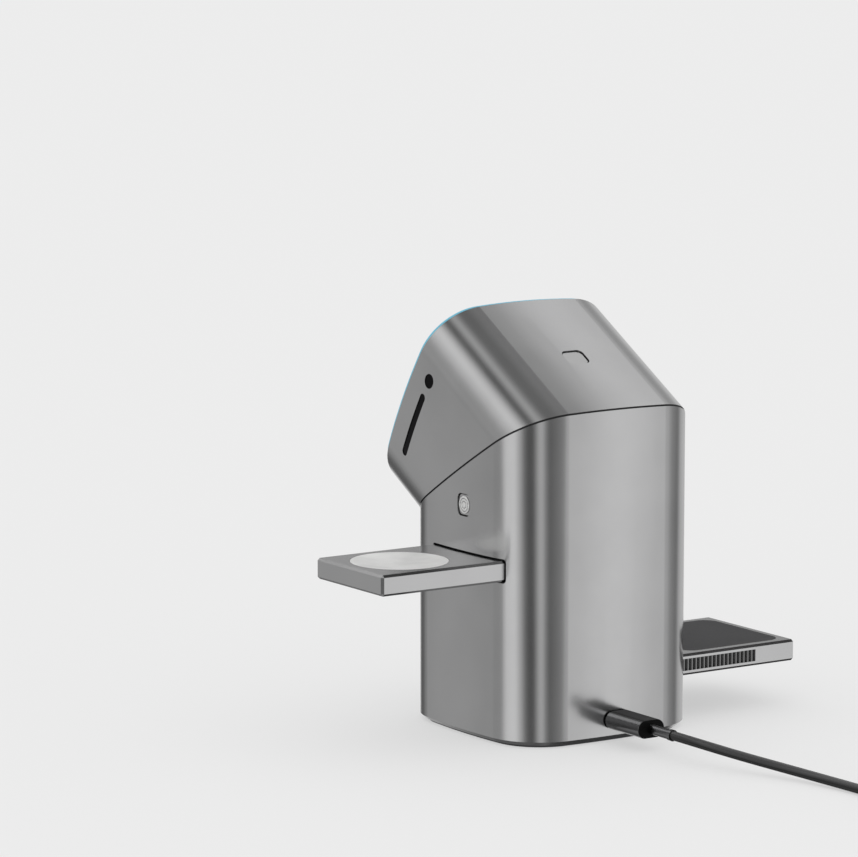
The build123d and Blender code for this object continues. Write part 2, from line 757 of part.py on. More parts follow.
def heat_sink():
    """Finned plate behind the coil."""
    top = skin_low - PACK_T - FERRITE_T
    low = top - SINK_T
    solid = head_prism(SINK_HALF, low, top)
    span = (FIN_COUNT - 1) * FIN_PITCH
    for n in range(FIN_COUNT):
        fin = Pos(n * FIN_PITCH - span / 2, 0) * Rectangle(FIN_T, FIN_LENGTH)
        solid += extrude(head_plane.offset(low - FIN_H) * fin, amount=FIN_H)
    return solid


# Port and lead

def obround(plane, wide, tall, low, high):
    return extrude(plane.offset(low) * SlotOverall(wide, tall), amount=high - low)


def usb_port():
    mouth = -PORT_MOUTH
    back = mouth - PORT_DEPTH
    solid = obround(port_plane, PORT_W, PORT_H, back, mouth)
    solid -= obround(port_plane, PORT_W - 2 * PORT_WALL, PORT_H - 2 * PORT_WALL, back + PORT_BACK_T, mouth)
    tongue = extrude(port_plane.offset(back + PORT_BACK_T) * Rectangle(TONGUE_W, TONGUE_H), amount=TONGUE_L)
    return solid + tongue


def port_board():
    half = PORT_W / 2 + PORT_BOARD_SIDE
    near = port_back - PORT_BOARD_REACH
    return block(-half, half, near, inner_half - PORT_BOARD_EDGE, port_board_top - PORT_BOARD_T, port_board_top)


def plug(plane, start):
    """Metal tongue of the plug, open at its tip, from start back along the plane's normal."""
    shell = obround(plane, PLUG_W, PLUG_H, start - PLUG_LENGTH, start)
    return shell - obround(plane, PLUG_CORE_W, PLUG_CORE_H, start - PLUG_LENGTH, start - PLUG_BACK)


def plug_grip(plane, start):
    solid = obround(plane, GRIP_W, GRIP_H, start, start + GRIP_LENGTH)
    ends = solid.edges().group_by(Axis(plane.origin, plane.z_dir))
    return fillet(ends[0] + ends[-1], GRIP_FILLET)


def plug_neck(plane, start):
    end = start + NECK_LENGTH
    return disc(plane, NECK_R, start, end) + disc(plane, NECK_RING_R, end, end + NECK_RING_L)


grip_start = GRIP_GAP
neck_start = grip_start + GRIP_LENGTH
lead_start = neck_start + NECK_LENGTH + NECK_RING_L
lead_y = BODY_HALF + lead_start
coil_x, coil_y = COIL_CENTRE

# Route of the lead: out of the plug, down to the floor and round to the coil
route = [
    Vector(0, lead_y, PORT_Z),
    Vector(0, 74.0, PORT_Z),
    Vector(-5.0, 88.8, 5.0),
    Vector(-13.0, 107.4, 2.5),
    Vector(-16.9, 130.6, CABLE_R),
    Vector(-18.0, 156.0, CABLE_R),
]
tail_route = [
    Vector(-38.3, 176.3, 4.4),
    Vector(-52.0, 176.3, 4.0),
    Vector(-65.5, 171.5, 3.1),
    Vector(-76.0, 162.0, GRIP_H / 2),
    Vector(-83.5, 151.5, GRIP_H / 2),
]


def bend_radii(points):
    """Radius of each bend: as large as the shorter of its two runs allows."""
    radii = []
    for a, b, c in zip(points, points[1:], points[2:]):
        turn = math.radians((b - a).get_angle(c - b))
        run = min((b - a).length, (c - b).length)
        radii.append(BEND_SHARE * run / math.tan(turn / 2))
    return radii


def lead(points):
    radii = bend_radii(points)
    print("bend radii:", [round(r, 1) for r in radii])
    path = FilletPolyline(*points, radius=radii)
    start = Plane(origin=path @ 0, z_dir=path % 0)
    tube = sweep(start * Circle(CABLE_R), path=path)
    share = tube.volume / (math.pi * CABLE_R ** 2 * path.length)
    print("lead length:", round(path.length, 1), "volume share:", round(share, 4))
    return tube


def lead_coil():
    """Outer shape of the lead's neat coil."""
    plane = moved(Plane.XY, coil_x, coil_y)
    return ring(plane, COIL_RADIUS + COIL_WIDTH / 2, COIL_RADIUS - COIL_WIDTH / 2, 0, COIL_HEIGHT)


far_dir = (tail_route[-1] - tail_route[-2]).normalized()
far_plane = Plane(
    origin=tail_route[-1] + far_dir * lead_start, x_dir=far_dir.cross(Vector(0, 0, 1)), z_dir=-far_dir
)


def build():
    parts = {
        "column_shell": column_shell(),
        "head_shell": head_shell(),
        "seam_gasket": seam_gasket(),
        "mitre_collar": mitre_collar(),
        "dot_window": window(Circle(DOT_R - WINDOW_GAP), DOT_UP),
        "slot_window": window(SlotOverall(SLOT_L - 2 * WINDOW_GAP, SLOT_W - 2 * WINDOW_GAP), SLOT_UP),
        "top_button": button(top_plane, TOP_BUTTON_X, TOP_BUTTON_Y),
        "top_switch": switch(top_plane),
        "top_bracket": bracket(top_plane, TOP_BUTTON_X),
        "side_button": side_button(),
        "side_switch": switch(side_plane),
        "side_bracket": bracket(side_plane, SIDE_BUTTON_X),
        "foot_pad": foot_pad(),
        "base_plate": base_plate(),
        "ballast": ballast(),
        "chassis_front": chassis_plate(-1),
        "chassis_back": chassis_plate(1),
        "arm_guide": arm_guide(),
        "shelf_guide": shelf_guide(),
        "main_board": main_board(),
        "arm_frame": arm_frame(),
        "arm_cover": tray_cover(arm_tail, arm_end, ARM_FRONT_Y, ARM_BACK_Y, ARM_Z),
        "arm_puck": arm_puck(),
        "arm_coil": arm_coil(),
        "arm_magnet": arm_magnet(),
        "arm_board": arm_board(),
        "arm_gear": gear(GEAR_X, arm_gear_y, ARM_Z, ARM_H),
        "arm_damper": damper(GEAR_X, arm_gear_y, ARM_Z, ARM_H),
        "shelf_frame": shelf_frame(),
        "shelf_cover": shelf_cover(),
        "shelf_pad": shelf_pad(),
        "shelf_coil": shelf_coil(),
        "shelf_ferrite": shelf_ferrite(),
        "shelf_gear": gear(-GEAR_X, shelf_gear_y, SHELF_Z, SHELF_H),
        "shelf_damper": damper(-GEAR_X, shelf_gear_y, SHELF_Z, SHELF_H),
        "light_guide": light_guide(),
        "ring_board": ring_board(),
        "head_tray": head_tray(),
        "face_plate": face_plate(),
        "face_pad": face_pad(),
        "magnet_ring": magnet_ring(),
        "face_coil": face_coil(),
        "face_ferrite": face_ferrite(),
        "heat_sink": heat_sink(),
        "usb_port": usb_port(),
        "port_board": port_board(),
        "plug_tip": plug(port_plane, grip_start),
        "plug_grip": plug_grip(port_plane, grip_start),
        "plug_neck": plug_neck(port_plane, neck_start),
        "lead_run": lead(route),
        "lead_coil": lead_coil(),
        "lead_tail": lead(tail_route),
        "far_neck": plug_neck(far_plane, neck_start),
        "far_grip": plug_grip(far_plane, grip_start),
        "far_tip": plug(far_plane, grip_start),
    }
    for number, (x, y) in enumerate(screw_places(), 1):
        parts[f"base_screw_{number}"] = base_screw(x, y)
    return parts


os.makedirs("parts", exist_ok=True)
for name, solid in build().items():
    export_step(solid, f"parts/{name}.step")
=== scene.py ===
import bpy
import bmesh
import math
from mathutils import Matrix, Vector


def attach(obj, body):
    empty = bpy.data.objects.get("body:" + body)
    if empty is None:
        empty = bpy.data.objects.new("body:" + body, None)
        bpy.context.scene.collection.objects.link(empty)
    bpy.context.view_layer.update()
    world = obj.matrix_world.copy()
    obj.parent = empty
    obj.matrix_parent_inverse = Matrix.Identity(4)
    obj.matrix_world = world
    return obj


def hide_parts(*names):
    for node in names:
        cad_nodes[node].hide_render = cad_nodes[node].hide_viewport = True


# Wireless charging stand in metres, +Z up, front along -Y

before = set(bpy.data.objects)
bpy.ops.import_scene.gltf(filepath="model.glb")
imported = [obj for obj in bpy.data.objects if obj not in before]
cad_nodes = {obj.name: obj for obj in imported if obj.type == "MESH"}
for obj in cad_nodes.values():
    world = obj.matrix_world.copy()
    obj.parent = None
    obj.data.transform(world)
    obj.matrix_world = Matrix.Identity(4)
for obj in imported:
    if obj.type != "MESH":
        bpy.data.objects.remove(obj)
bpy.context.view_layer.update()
MM = 0.001

# Camera of the photograph
CAMERA_AT = (0.7975, 1.1273, 0.3023)
CAMERA_LOOKS_AT = (0.03179, -0.0212, 0.09249)
LENS_MM = 188.83
SENSOR_MM = 36.0
CAMERA_REACH = 20.0

# Studio: what the metal mirrors, as bearing round a leaning pole and brightness
POLE_LEAN_DEG = 37.0
LOW_STRIPS = [
    (-180, 0.24),
    (-168, 0.67),
    (-158, 0.71),
    (-147, 0.64),
    (-134, 0.74),
    (-122, 0.95),
    (-112, 0.75),
    (-98, 0.14),
    (-86, 0.16),
    (-58, 0.53),
    (-38, 0.43),
    (-27, 0.42),
    (-14, 1.01),
    (0, 1.08),
    (9, 0.66),
    (18, 0.20),
    (25, 0.11),
    (33, 0.11),
    (40, 0.46),
    (47, 0.79),
    (54, 0.66),
    (62, 0.30),
    (72, 0.17),
    (84, 0.24),
    (96, 0.29),
    (106, 0.34),
    (127, 0.82),
    (138, 1.10),
    (148, 0.76),
    (168, 0.36),
    (180, 0.24),
]
HIGH_STRIPS = [
    (-180, 0.45),
    (-164, 0.45),
    (-150, 0.80),
    (-112, 0.52),
    (-88, 0.42),
    (-64, 0.36),
    (-53, 0.90),
    (-43, 2.40),
    (-28, 0.45),
    (-20, 0.34),
    (-8, 0.84),
    (4, 1.07),
    (12, 0.98),
    (20, 0.56),
    (28, 0.12),
    (36, 0.13),
    (44, 0.47),
    (52, 0.66),
    (60, 0.51),
    (68, 0.32),
    (78, 0.21),
    (100, 0.21),
    (114, 0.26),
    (128, 0.31),
    (140, 0.24),
    (146, 0.27),
    (151, 0.58),
    (156, 0.95),
    (162, 1.06),
    (170, 0.80),
    (180, 0.45),
]
HIGH_STARTS_DEG = 0.0
HIGH_FULL_DEG = 30.0

# Flags and one lamp: direction, full and faded angle from it, share of light taken (below zero: added)
FLAGS = [
    ((-0.545, 0.17, 0.817), 7.0, 15.0, 0.85),
    ((-0.575, -0.791, 0.208), 6.0, 14.0, 0.45),
    ((-0.545, -0.17, -0.817), 15.0, 30.0, 0.92),
    ((0.150, 0.823, 0.549), 8.0, 18.0, -9.0),
]

# Room for diffuse light, background that the camera sees, and floor
ROOM_LEVEL = 0.9
ROOM_FROM_ABOVE = 0.16
MEAN_LIGHT_HEIGHT = 0.6
BACKGROUND = 0.8388
FLOOR_HALF = 4.0
FLOOR_GLOW = 0.6

# Lead: the route of the CAD tubes, and the turns of its coil as height and radius, in mm
CABLE_D = 2.9 * MM
RUN = [
    (0.0, 63.9, 6.9),
    (0.0, 74.0, 6.9),
    (-5.0, 88.8, 5.0),
    (-13.0, 107.4, 2.5),
    (-16.9, 130.6, 1.45),
]
COIL_CENTRE = (-38.3, 156.0)
COIL_LAYERS = [(1.45, 20.3), (1.45, 17.4), (1.45, 14.5), (4.4, 14.5), (4.4, 17.4), (4.4, 20.3)]
TURN_POINTS = 16
SHIFT_POINTS = 4
TAIL = [
    (-52.0, 176.3, 4.0),
    (-65.5, 171.5, 3.1),
    (-76.0, 162.0, 2.8),
    (-83.5, 151.5, 2.8),
]

# Strap round the coil's turns in mm, at a bearing seen from the coil's centre
STRAP_DEG = 205.0
STRAP_WIDE = 4.5
STRAP_T = 0.55
STRAP_IN = 12.6
STRAP_OUT = 22.2
STRAP_TOP = 6.4
STRAP_CORNER = 2.2
STRAP_CORNER_STEPS = 8

# Boxes in mm, as ranges along X, Y and Z: rack grooves of the shelf and of the arm, and their lands, which
# take painted shade
RACK_GROOVES = [
    ((-75.0, -12.0), (21.3, 22.45), (15.5, 19.5)),
    ((12.0, 75.0), (-14.0, -12.85), (52.25, 56.25)),
]
RACK_LANDS = [
    ((-63.2, -14.8), (22.45, 22.55), (15.6, 19.4)),
    ((13.2, 61.7), (-14.1, -14.0), (52.35, 56.15)),
]
# Painted shade: darker colours painted into the rack grooves and onto their lands
GROOVE_PAINTED_SHADE = (0.34, 0.34, 0.34)
LAND_PAINTED_SHADE = (0.20, 0.20, 0.20)

# Etched boss of the side button: its range along X in mm, and its finish
BOSS_TOP = (34.97, 35.2)
ETCHED_DARK = (0.50, 0.50, 0.50)
ETCHED_LIGHT = (0.92, 0.92, 0.91)
ETCHED_METALLIC = 0.25

# Light guide, winding and circuit board
GUIDE_DARK = (0.10, 0.26, 0.34)
GUIDE_LIGHT = (0.13, 0.31, 0.39)
GUIDE_GLOW = (0.07, 0.33, 0.46)
GUIDE_GLOW_STRENGTH = 0.6
COPPER_DARK = (0.42, 0.16, 0.07)
COPPER_LIGHT = (0.72, 0.34, 0.18)
MASK_DARK = (0.012, 0.055, 0.03)
MASK_LIGHT = (0.015, 0.075, 0.04)
TRACK = (0.03, 0.14, 0.07)
TRACK_WIDE = 0.03

# Grip and cable: how far the surface faces an axis where each zone starts and where it is full
GRIP_END = (0.1, 0.45)
GRIP_FLAT = (0.84, 0.97)
# Painted light: where the cable's colour starts to lighten towards its top and where it is full
CABLE_PAINTED_LIGHT = (-0.1, 1.05)
# Painted shade: the grip's end face is painted near black, with little shine
GRIP_END_PAINTED_SHADE = (0.003, 0.003, 0.003)
GRIP_END_SHINE = 0.08
PLASTIC_SHINE = 0.5
MATT_ROUGHER = 0.3

# Fineness of the patterns in features per metre
BLASTED = 2600
ETCHED = 3600
SPARK_ERODED = 1500
DRAWN = 900
DRAWN_STRETCH = (0.04, 1, 1)
STRANDS = 1400
HANDLING = 55
MOULD_FLOW = 90
GUIDE_CLOUD = 160
BOARD_PADS = 260

# Where a pattern leaves its dark tone and reaches its light one
TONES_FROM = 0.3
TONES_TO = 0.7

# Colour sockets of a mix node
MIX_FIRST = 6
MIX_SECOND = 7
MIX_RESULT = 2

# Finishes by the name of their CAD material slot, filled in below
FINISHES = {}


def piece_from(name, data):
    """New object of the scene at the origin."""
    piece = bpy.data.objects.new(name, data)
    bpy.context.scene.collection.objects.link(piece)
    return piece


def mesh_piece(name, shape):
    """New object from a finished bmesh."""
    mesh = bpy.data.meshes.new(name)
    shape.to_mesh(mesh)
    shape.free()
    return piece_from(name, mesh)


def coil_point(radius, step, height):
    """Control point in mm at a step of a turn, far enough out for the curve to pass at the radius."""
    reach = radius / math.cos(math.pi / TURN_POINTS)
    angle = 2 * math.pi * step / TURN_POINTS
    return (COIL_CENTRE[0] + reach * math.cos(angle), COIL_CENTRE[1] + reach * math.sin(angle), height)


def coil_points():
    """Control points of the coil: each turn keeps its radius and moves to the next at its end."""
    layers = COIL_LAYERS + [COIL_LAYERS[-1]]
    points = []
    for turn, (height, radius) in enumerate(COIL_LAYERS):
        next_height, next_radius = layers[turn + 1]
        for step in range(TURN_POINTS):
            moved = max(0, step - TURN_POINTS + SHIFT_POINTS) / SHIFT_POINTS
            here = radius + (next_radius - radius) * moved
            points.append(coil_point(here, step, height + (next_height - height) * moved))
    height, radius = COIL_LAYERS[-1]
    quarter = TURN_POINTS // 4
    return points + [coil_point(radius, step, height) for step in range(quarter + 1)]


def lead():
    """The whole lead as one spline, from the plug's neck to the neck of the far plug."""
    points = RUN + coil_points() + TAIL
    curve = bpy.data.curves.new("lead", "CURVE")
    curve.dimensions = "3D"
    curve.bevel_depth = CABLE_D / 2
    curve.bevel_resolution = 5
    curve.resolution_u = 6
    curve.use_fill_caps = True
    spline = curve.splines.new("NURBS")
    spline.points.add(len(points) - 1)
    for point, (x, y, z) in zip(spline.points, points):
        point.co = (x * MM, y * MM, z * MM, 1)
    spline.order_u = 3
    spline.use_endpoint_u = True
    return piece_from("lead", curve)


def strap():
    """Thin closed strap round the bundle of turns, made from a flat tube with rounded edges."""
    shape = bmesh.new()
    bmesh.ops.create_cube(shape, size=1.0)
    size = Matrix.Diagonal(((STRAP_OUT - STRAP_IN) * MM, STRAP_WIDE * MM, STRAP_TOP * MM, 1))
    middle = Matrix.Translation(((STRAP_IN + STRAP_OUT) / 2 * MM, 0, STRAP_TOP / 2 * MM))
    bmesh.ops.transform(shape, matrix=middle @ size, verts=shape.verts)
    ends = [face for face in shape.faces if abs(face.normal.y) > 0.5]
    bmesh.ops.delete(shape, geom=ends, context="FACES_ONLY")
    half = STRAP_WIDE * MM / 2
    corners = [edge for edge in shape.edges if abs(edge.verts[0].co.y - edge.verts[1].co.y) > half]
    bmesh.ops.bevel(
        shape,
        geom=corners,
        offset=STRAP_CORNER * MM,
        segments=STRAP_CORNER_STEPS,
        profile=0.5,
        affect="EDGES",
        material=-1,
        clamp_overlap=True,
    )
    bmesh.ops.recalc_face_normals(shape, faces=shape.faces)
    bmesh.ops.solidify(shape, geom=shape.faces[:], thickness=STRAP_T * MM)
    turn = Matrix.Rotation(math.radians(STRAP_DEG), 4, "Z")
    centre = Matrix.Translation((COIL_CENTRE[0] * MM, COIL_CENTRE[1] * MM, 0))
    bmesh.ops.transform(shape, matrix=centre @ turn, verts=shape.verts)
    for face in shape.faces:
        face.smooth = True
    return mesh_piece("coil_strap", shape)


def new_material(name):
    """New material, its tree and its shader."""
    material = bpy.data.materials.new(name)
    material.use_nodes = True
    tree = material.node_tree
    return material, tree, tree.nodes["Principled BSDF"]


def add(tree, kind, **settings):
    """New node with its properties set by name."""
    node = tree.nodes.new(kind)
    for key, value in settings.items():
        setattr(node, key, value)
    return node


def feed(tree, socket, source):
    """Gives an input another node's output or a plain value."""
    if isinstance(source, bpy.types.NodeSocket):
        tree.links.new(source, socket)
    else:
        socket.default_value = source


def value_of(tree, operation, *sources):
    """Math node; each source is a number or a socket."""
    node = add(tree, "ShaderNodeMath", operation=operation)
    for socket, source in zip(node.inputs, sources):
        feed(tree, socket, source)
    return node.outputs[0]


def blend(tree, share, first, second):
    """Mix of two numbers; each source is a number or a socket."""
    node = add(tree, "ShaderNodeMix", data_type="FLOAT")
    feed(tree, node.inputs["Factor"], share)
    feed(tree, node.inputs["A"], first)
    feed(tree, node.inputs["B"], second)
    return node.outputs["Result"]


def tinted(tree, share, colour, other):
    """Mix of two colours by a share; the other is a socket or a plain colour with its alpha."""
    node = add(tree, "ShaderNodeMix", data_type="RGBA")
    feed(tree, node.inputs["Factor"], share)
    feed(tree, node.inputs[MIX_FIRST], colour)
    feed(tree, node.inputs[MIX_SECOND], other)
    return node.outputs[MIX_RESULT]


def remap(tree, source, before=(0, 1), after=(0, 1), kind="LINEAR"):
    """Maps one range of numbers to another, and SMOOTHSTEP eases both ends."""
    node = add(tree, "ShaderNodeMapRange", interpolation_type=kind)
    tree.links.new(source, node.inputs["Value"])
    node.inputs["From Min"].default_value, node.inputs["From Max"].default_value = before
    node.inputs["To Min"].default_value, node.inputs["To Max"].default_value = after
    return node.outputs["Result"]


def around(tree, source, middle, swing):
    """Number that a pattern moves to either side of its middle."""
    return remap(tree, source, after=(middle - swing, middle + swing))


def axes(tree, kind):
    """X, Y and Z of the Object coordinates or of the surface's own Normal."""
    place = add(tree, "ShaderNodeTexCoord")
    parts = add(tree, "ShaderNodeSeparateXYZ")
    tree.links.new(place.outputs[kind], parts.inputs["Vector"])
    return parts.outputs


def facing(tree, axis, low, high):
    """Rises from zero to one as the surface turns to face along an axis of its piece."""
    return remap(tree, value_of(tree, "ABSOLUTE", axes(tree, "Normal")[axis]), before=(low, high))


def within(tree, axis, low, high):
    """One where an Object coordinate in mm lies between low and high, else zero."""
    off = value_of(tree, "SUBTRACT", axes(tree, "Object")[axis], (low + high) / 2 * MM)
    return value_of(tree, "LESS_THAN", value_of(tree, "ABSOLUTE", off), (high - low) / 2 * MM)


def in_boxes(tree, boxes):
    """One inside any of the boxes given as ranges in mm along X, Y and Z, else zero."""
    inside = 0.0
    for ranges in boxes:
        here = 1.0
        for axis, (low, high) in zip("XYZ", ranges):
            here = value_of(tree, "MULTIPLY", within(tree, axis, low, high), here)
        inside = value_of(tree, "MAXIMUM", here, inside)
    return inside


def noise(tree, scale, detail=2.0, stretch=(1, 1, 1)):
    """Noise on Object coordinates, from 0 to 1; scale is in features per metre."""
    place = add(tree, "ShaderNodeTexCoord")
    mapping = add(tree, "ShaderNodeMapping")
    mapping.inputs["Scale"].default_value = stretch
    texture = add(tree, "ShaderNodeTexNoise")
    texture.inputs["Scale"].default_value = scale
    texture.inputs["Detail"].default_value = detail
    tree.links.new(place.outputs["Object"], mapping.inputs["Vector"])
    tree.links.new(mapping.outputs["Vector"], texture.inputs["Vector"])
    return texture.outputs["Fac"]


def shade(colour, factor):
    """Colour made darker or lighter, at most white."""
    return tuple(min(1, c * factor) for c in colour)


def two_tones(tree, source, dark, light):
    """Colour that runs from dark to light with a pattern."""
    ramp = add(tree, "ShaderNodeValToRGB")
    first, last = ramp.color_ramp.elements
    first.color = (*dark, 1)
    last.color = (*light, 1)
    first.position = TONES_FROM
    last.position = TONES_TO
    tree.links.new(source, ramp.inputs["Fac"])
    return ramp.outputs["Color"]


def bump(tree, shader, pattern, strength, depth):
    """Fine relief from a pattern; depth is in mm."""
    node = add(tree, "ShaderNodeBump")
    node.inputs["Strength"].default_value = strength
    node.inputs["Distance"].default_value = depth * MM
    tree.links.new(pattern, node.inputs["Height"])
    tree.links.new(node.outputs["Normal"], shader.inputs["Normal"])


def finish(name):
    """New finish, kept under its name: its tree and its shader."""
    FINISHES[name], tree, shader = new_material(name)
    return tree, shader


def dress(tree, shader, sources):
    """Feeds the shader's inputs by their names."""
    for name, source in sources.items():
        feed(tree, shader.inputs[name], source)


def blasted_metal(name, colour, roughness):
    """Anodised aluminium with a fine bead-blasted grain, faint handling marks, and painted shade in its
    rack grooves and on their lands.
    """
    tree, shader = finish(name)
    grain = noise(tree, BLASTED)
    cloud = noise(tree, HANDLING, detail=3)
    metal = two_tones(tree, cloud, shade(colour, 0.97), shade(colour, 1.03))
    # Painted shade: the rack grooves and their lands take a darker colour
    metal = tinted(tree, in_boxes(tree, RACK_GROOVES), metal, (*GROOVE_PAINTED_SHADE, 1))
    metal = tinted(tree, in_boxes(tree, RACK_LANDS), metal, (*LAND_PAINTED_SHADE, 1))
    fine = around(tree, grain, roughness, swing=0.03)
    rough = value_of(tree, "ADD", around(tree, cloud, 0, swing=0.015), fine)
    dress(tree, shader, {"Base Color": metal, "Roughness": rough, "Metallic": 1.0})
    bump(tree, shader, grain, strength=0.06, depth=0.02)


def etched_metal(name, colour, roughness):
    """Button metal whose round boss is etched to a pale matt finish."""
    tree, shader = finish(name)
    grain = noise(tree, BLASTED)
    boss = within(tree, "X", *BOSS_TOP)
    metal = two_tones(tree, grain, shade(colour, 0.97), colour)
    pale = two_tones(tree, noise(tree, ETCHED), ETCHED_DARK, ETCHED_LIGHT)
    tone = tinted(tree, boss, metal, pale)
    rough = value_of(tree, "MULTIPLY_ADD", boss, MATT_ROUGHER, around(tree, grain, roughness, swing=0.03))
    metallic = blend(tree, boss, 1.0, ETCHED_METALLIC)
    dress(tree, shader, {"Base Color": tone, "Roughness": rough, "Metallic": metallic})
    bump(tree, shader, grain, strength=0.06, depth=0.02)


def drawn_metal(name, colour, roughness):
    """Bare metal with fine drawn lines along X."""
    tree, shader = finish(name)
    lines = noise(tree, DRAWN, detail=4, stretch=DRAWN_STRETCH)
    metal = two_tones(tree, lines, shade(colour, 0.9), colour)
    rough = around(tree, lines, roughness, swing=0.06)
    dress(tree, shader, {"Base Color": metal, "Roughness": rough, "Metallic": 1.0})
    bump(tree, shader, lines, strength=0.1, depth=0.01)


def wound_copper(name, roughness):
    """Litz winding: fine strands that cross the coil."""
    tree, shader = finish(name)
    strands = noise(tree, STRANDS, detail=3)
    metal = two_tones(tree, strands, COPPER_DARK, COPPER_LIGHT)
    rough = around(tree, strands, roughness, swing=0.10)
    dress(tree, shader, {"Base Color": metal, "Roughness": rough, "Metallic": 1.0})
    bump(tree, shader, strands, strength=0.5, depth=0.15)


def moulded(name, colour, roughness, relief=0.12, shine=PLASTIC_SHINE):
    """Moulded plastic or rubber with a fine spark-eroded grain."""
    tree, shader = finish(name)
    grain = noise(tree, SPARK_ERODED)
    tone = two_tones(tree, noise(tree, MOULD_FLOW, detail=3), shade(colour, 0.88), shade(colour, 1.12))
    rough = around(tree, grain, roughness, swing=0.05)
    dress(tree, shader, {"Base Color": tone, "Roughness": rough, "Specular IOR Level": shine})
    bump(tree, shader, grain, strength=relief, depth=0.03)


def lit_guide(name, roughness):
    """Milky light guide with a low blue-green glow."""
    tree, shader = finish(name)
    cloud = noise(tree, GUIDE_CLOUD)
    tone = two_tones(tree, cloud, GUIDE_DARK, GUIDE_LIGHT)
    dress(tree, shader, {"Base Color": tone, "Roughness": around(tree, cloud, roughness, swing=0.04)})
    dress(tree, shader, {"Emission Color": (*GUIDE_GLOW, 1), "Emission Strength": GUIDE_GLOW_STRENGTH})


def board_mask(name, roughness):
    """Solder mask over copper tracks, with a fine grid of pads."""
    tree, shader = finish(name)
    place = add(tree, "ShaderNodeTexCoord")
    cells = add(tree, "ShaderNodeTexBrick")
    cells.inputs["Scale"].default_value = BOARD_PADS
    cells.inputs["Mortar Size"].default_value = TRACK_WIDE
    cells.inputs["Color1"].default_value = (*MASK_DARK, 1)
    cells.inputs["Color2"].default_value = (*MASK_LIGHT, 1)
    cells.inputs["Mortar"].default_value = (*TRACK, 1)
    tree.links.new(place.outputs["Object"], cells.inputs["Vector"])
    rough = around(tree, cells.outputs["Fac"], roughness, swing=0.075)
    dress(tree, shader, {"Base Color": cells.outputs["Color"], "Roughness": rough})
    bump(tree, shader, cells.outputs["Fac"], strength=0.3, depth=0.03)


def grip_plastic(name, sheen_sides, flats, roughness):
    """Grip with a painted sheen: its flanks lighter and metallic, matt dark flats on top and underneath,
    and painted shade on its end face, matt near black.
    """
    tree, shader = finish(name)
    grain = noise(tree, SPARK_ERODED)
    end = facing(tree, "Y", *GRIP_END)
    flat = facing(tree, "Z", *GRIP_FLAT)
    matt = value_of(tree, "MAXIMUM", end, flat)
    # Painted sheen: the flanks take a lighter metallic colour than the dark flats
    tone = tinted(tree, flat, two_tones(tree, grain, shade(sheen_sides, 0.94), sheen_sides), (*flats, 1))
    # Painted shade: the end face takes a near black colour
    tone = tinted(tree, end, tone, (*GRIP_END_PAINTED_SHADE, 1))
    rough = value_of(tree, "MULTIPLY_ADD", matt, MATT_ROUGHER, around(tree, grain, roughness, swing=0.03))
    metallic = blend(tree, matt, 1.0, 0.0)
    shine = blend(tree, end, PLASTIC_SHINE, GRIP_END_SHINE)
    dress(tree, shader, {"Base Color": tone, "Roughness": rough, "Metallic": metallic})
    dress(tree, shader, {"Specular IOR Level": shine})
    bump(tree, shader, grain, strength=0.04, depth=0.03)


def cable_jacket(name, below, painted_top_light, roughness):
    """Soft black cable jacket, with painted light on top: its colour lightens as the surface faces up."""
    tree, shader = finish(name)
    grain = noise(tree, SPARK_ERODED)
    painted_light_share = remap(tree, axes(tree, "Normal")["Z"], before=CABLE_PAINTED_LIGHT, kind="SMOOTHSTEP")
    # Painted light: lighter colour where the jacket faces up
    tone = tinted(tree, painted_light_share, two_tones(tree, grain, shade(below, 0.9), below), (*painted_top_light, 1))
    rough = around(tree, grain, roughness, swing=0.03)
    dress(tree, shader, {"Base Color": tone, "Roughness": rough, "Specular IOR Level": PLASTIC_SHINE})
    bump(tree, shader, grain, strength=0.03, depth=0.03)


def floor():
    """Plain pale floor that keeps a soft share of the object's shadow and that the metal doesn't mirror."""
    shape = bmesh.new()
    bmesh.ops.create_grid(shape, x_segments=1, y_segments=1, size=FLOOR_HALF)
    piece = mesh_piece("floor", shape)
    material, tree, shader = new_material("floor")
    # Under the room's light this colour comes out as bright as the background
    pale = BACKGROUND / (ROOM_LEVEL + ROOM_FROM_ABOVE * MEAN_LIGHT_HEIGHT)
    dress(tree, shader, {"Base Color": (pale, pale, pale, 1), "Roughness": 1.0, "Specular IOR Level": 0.0})
    glow = add(tree, "ShaderNodeEmission")
    glow.inputs["Color"].default_value = (BACKGROUND, BACKGROUND, BACKGROUND, 1)
    both = add(tree, "ShaderNodeMixShader")
    both.inputs["Fac"].default_value = FLOOR_GLOW
    tree.links.new(shader.outputs["BSDF"], both.inputs[1])
    tree.links.new(glow.outputs["Emission"], both.inputs[2])
    tree.links.new(both.outputs["Shader"], tree.nodes["Material Output"].inputs["Surface"])
    piece.data.materials.append(material)
    piece.visible_glossy = False


def strip_ramp(tree, bearing, strips):
    """Brightness by bearing, with soft steps; the first and last strips are the ramp's own ends."""
    ramp = add(tree, "ShaderNodeValToRGB")
    ramp.color_ramp.interpolation = "EASE"
    tree.links.new(bearing, ramp.inputs["Fac"])
    stops = ramp.color_ramp.elements
    for degrees, _ in strips[1:-1]:
        stops.new((degrees + 180) / 360)
    for stop, (_, level) in zip(stops, strips):
        stop.color = (level, level, level, 1)
    return ramp.outputs["Color"]


def flagged(tree, way, light):
    """Mirrored light with the flags and the lamp in it."""
    for direction, full, faded, share in FLAGS:
        toward = add(tree, "ShaderNodeVectorMath", operation="DOT_PRODUCT")
        toward.inputs[1].default_value = Vector(direction).normalized()
        tree.links.new(way, toward.inputs[0])
        edge = (math.cos(math.radians(faded)), math.cos(math.radians(full)))
        left = remap(tree, toward.outputs["Value"], edge, (1.0, 1.0 - share), "SMOOTHSTEP")
        light = value_of(tree, "MULTIPLY", light, left)
    return light


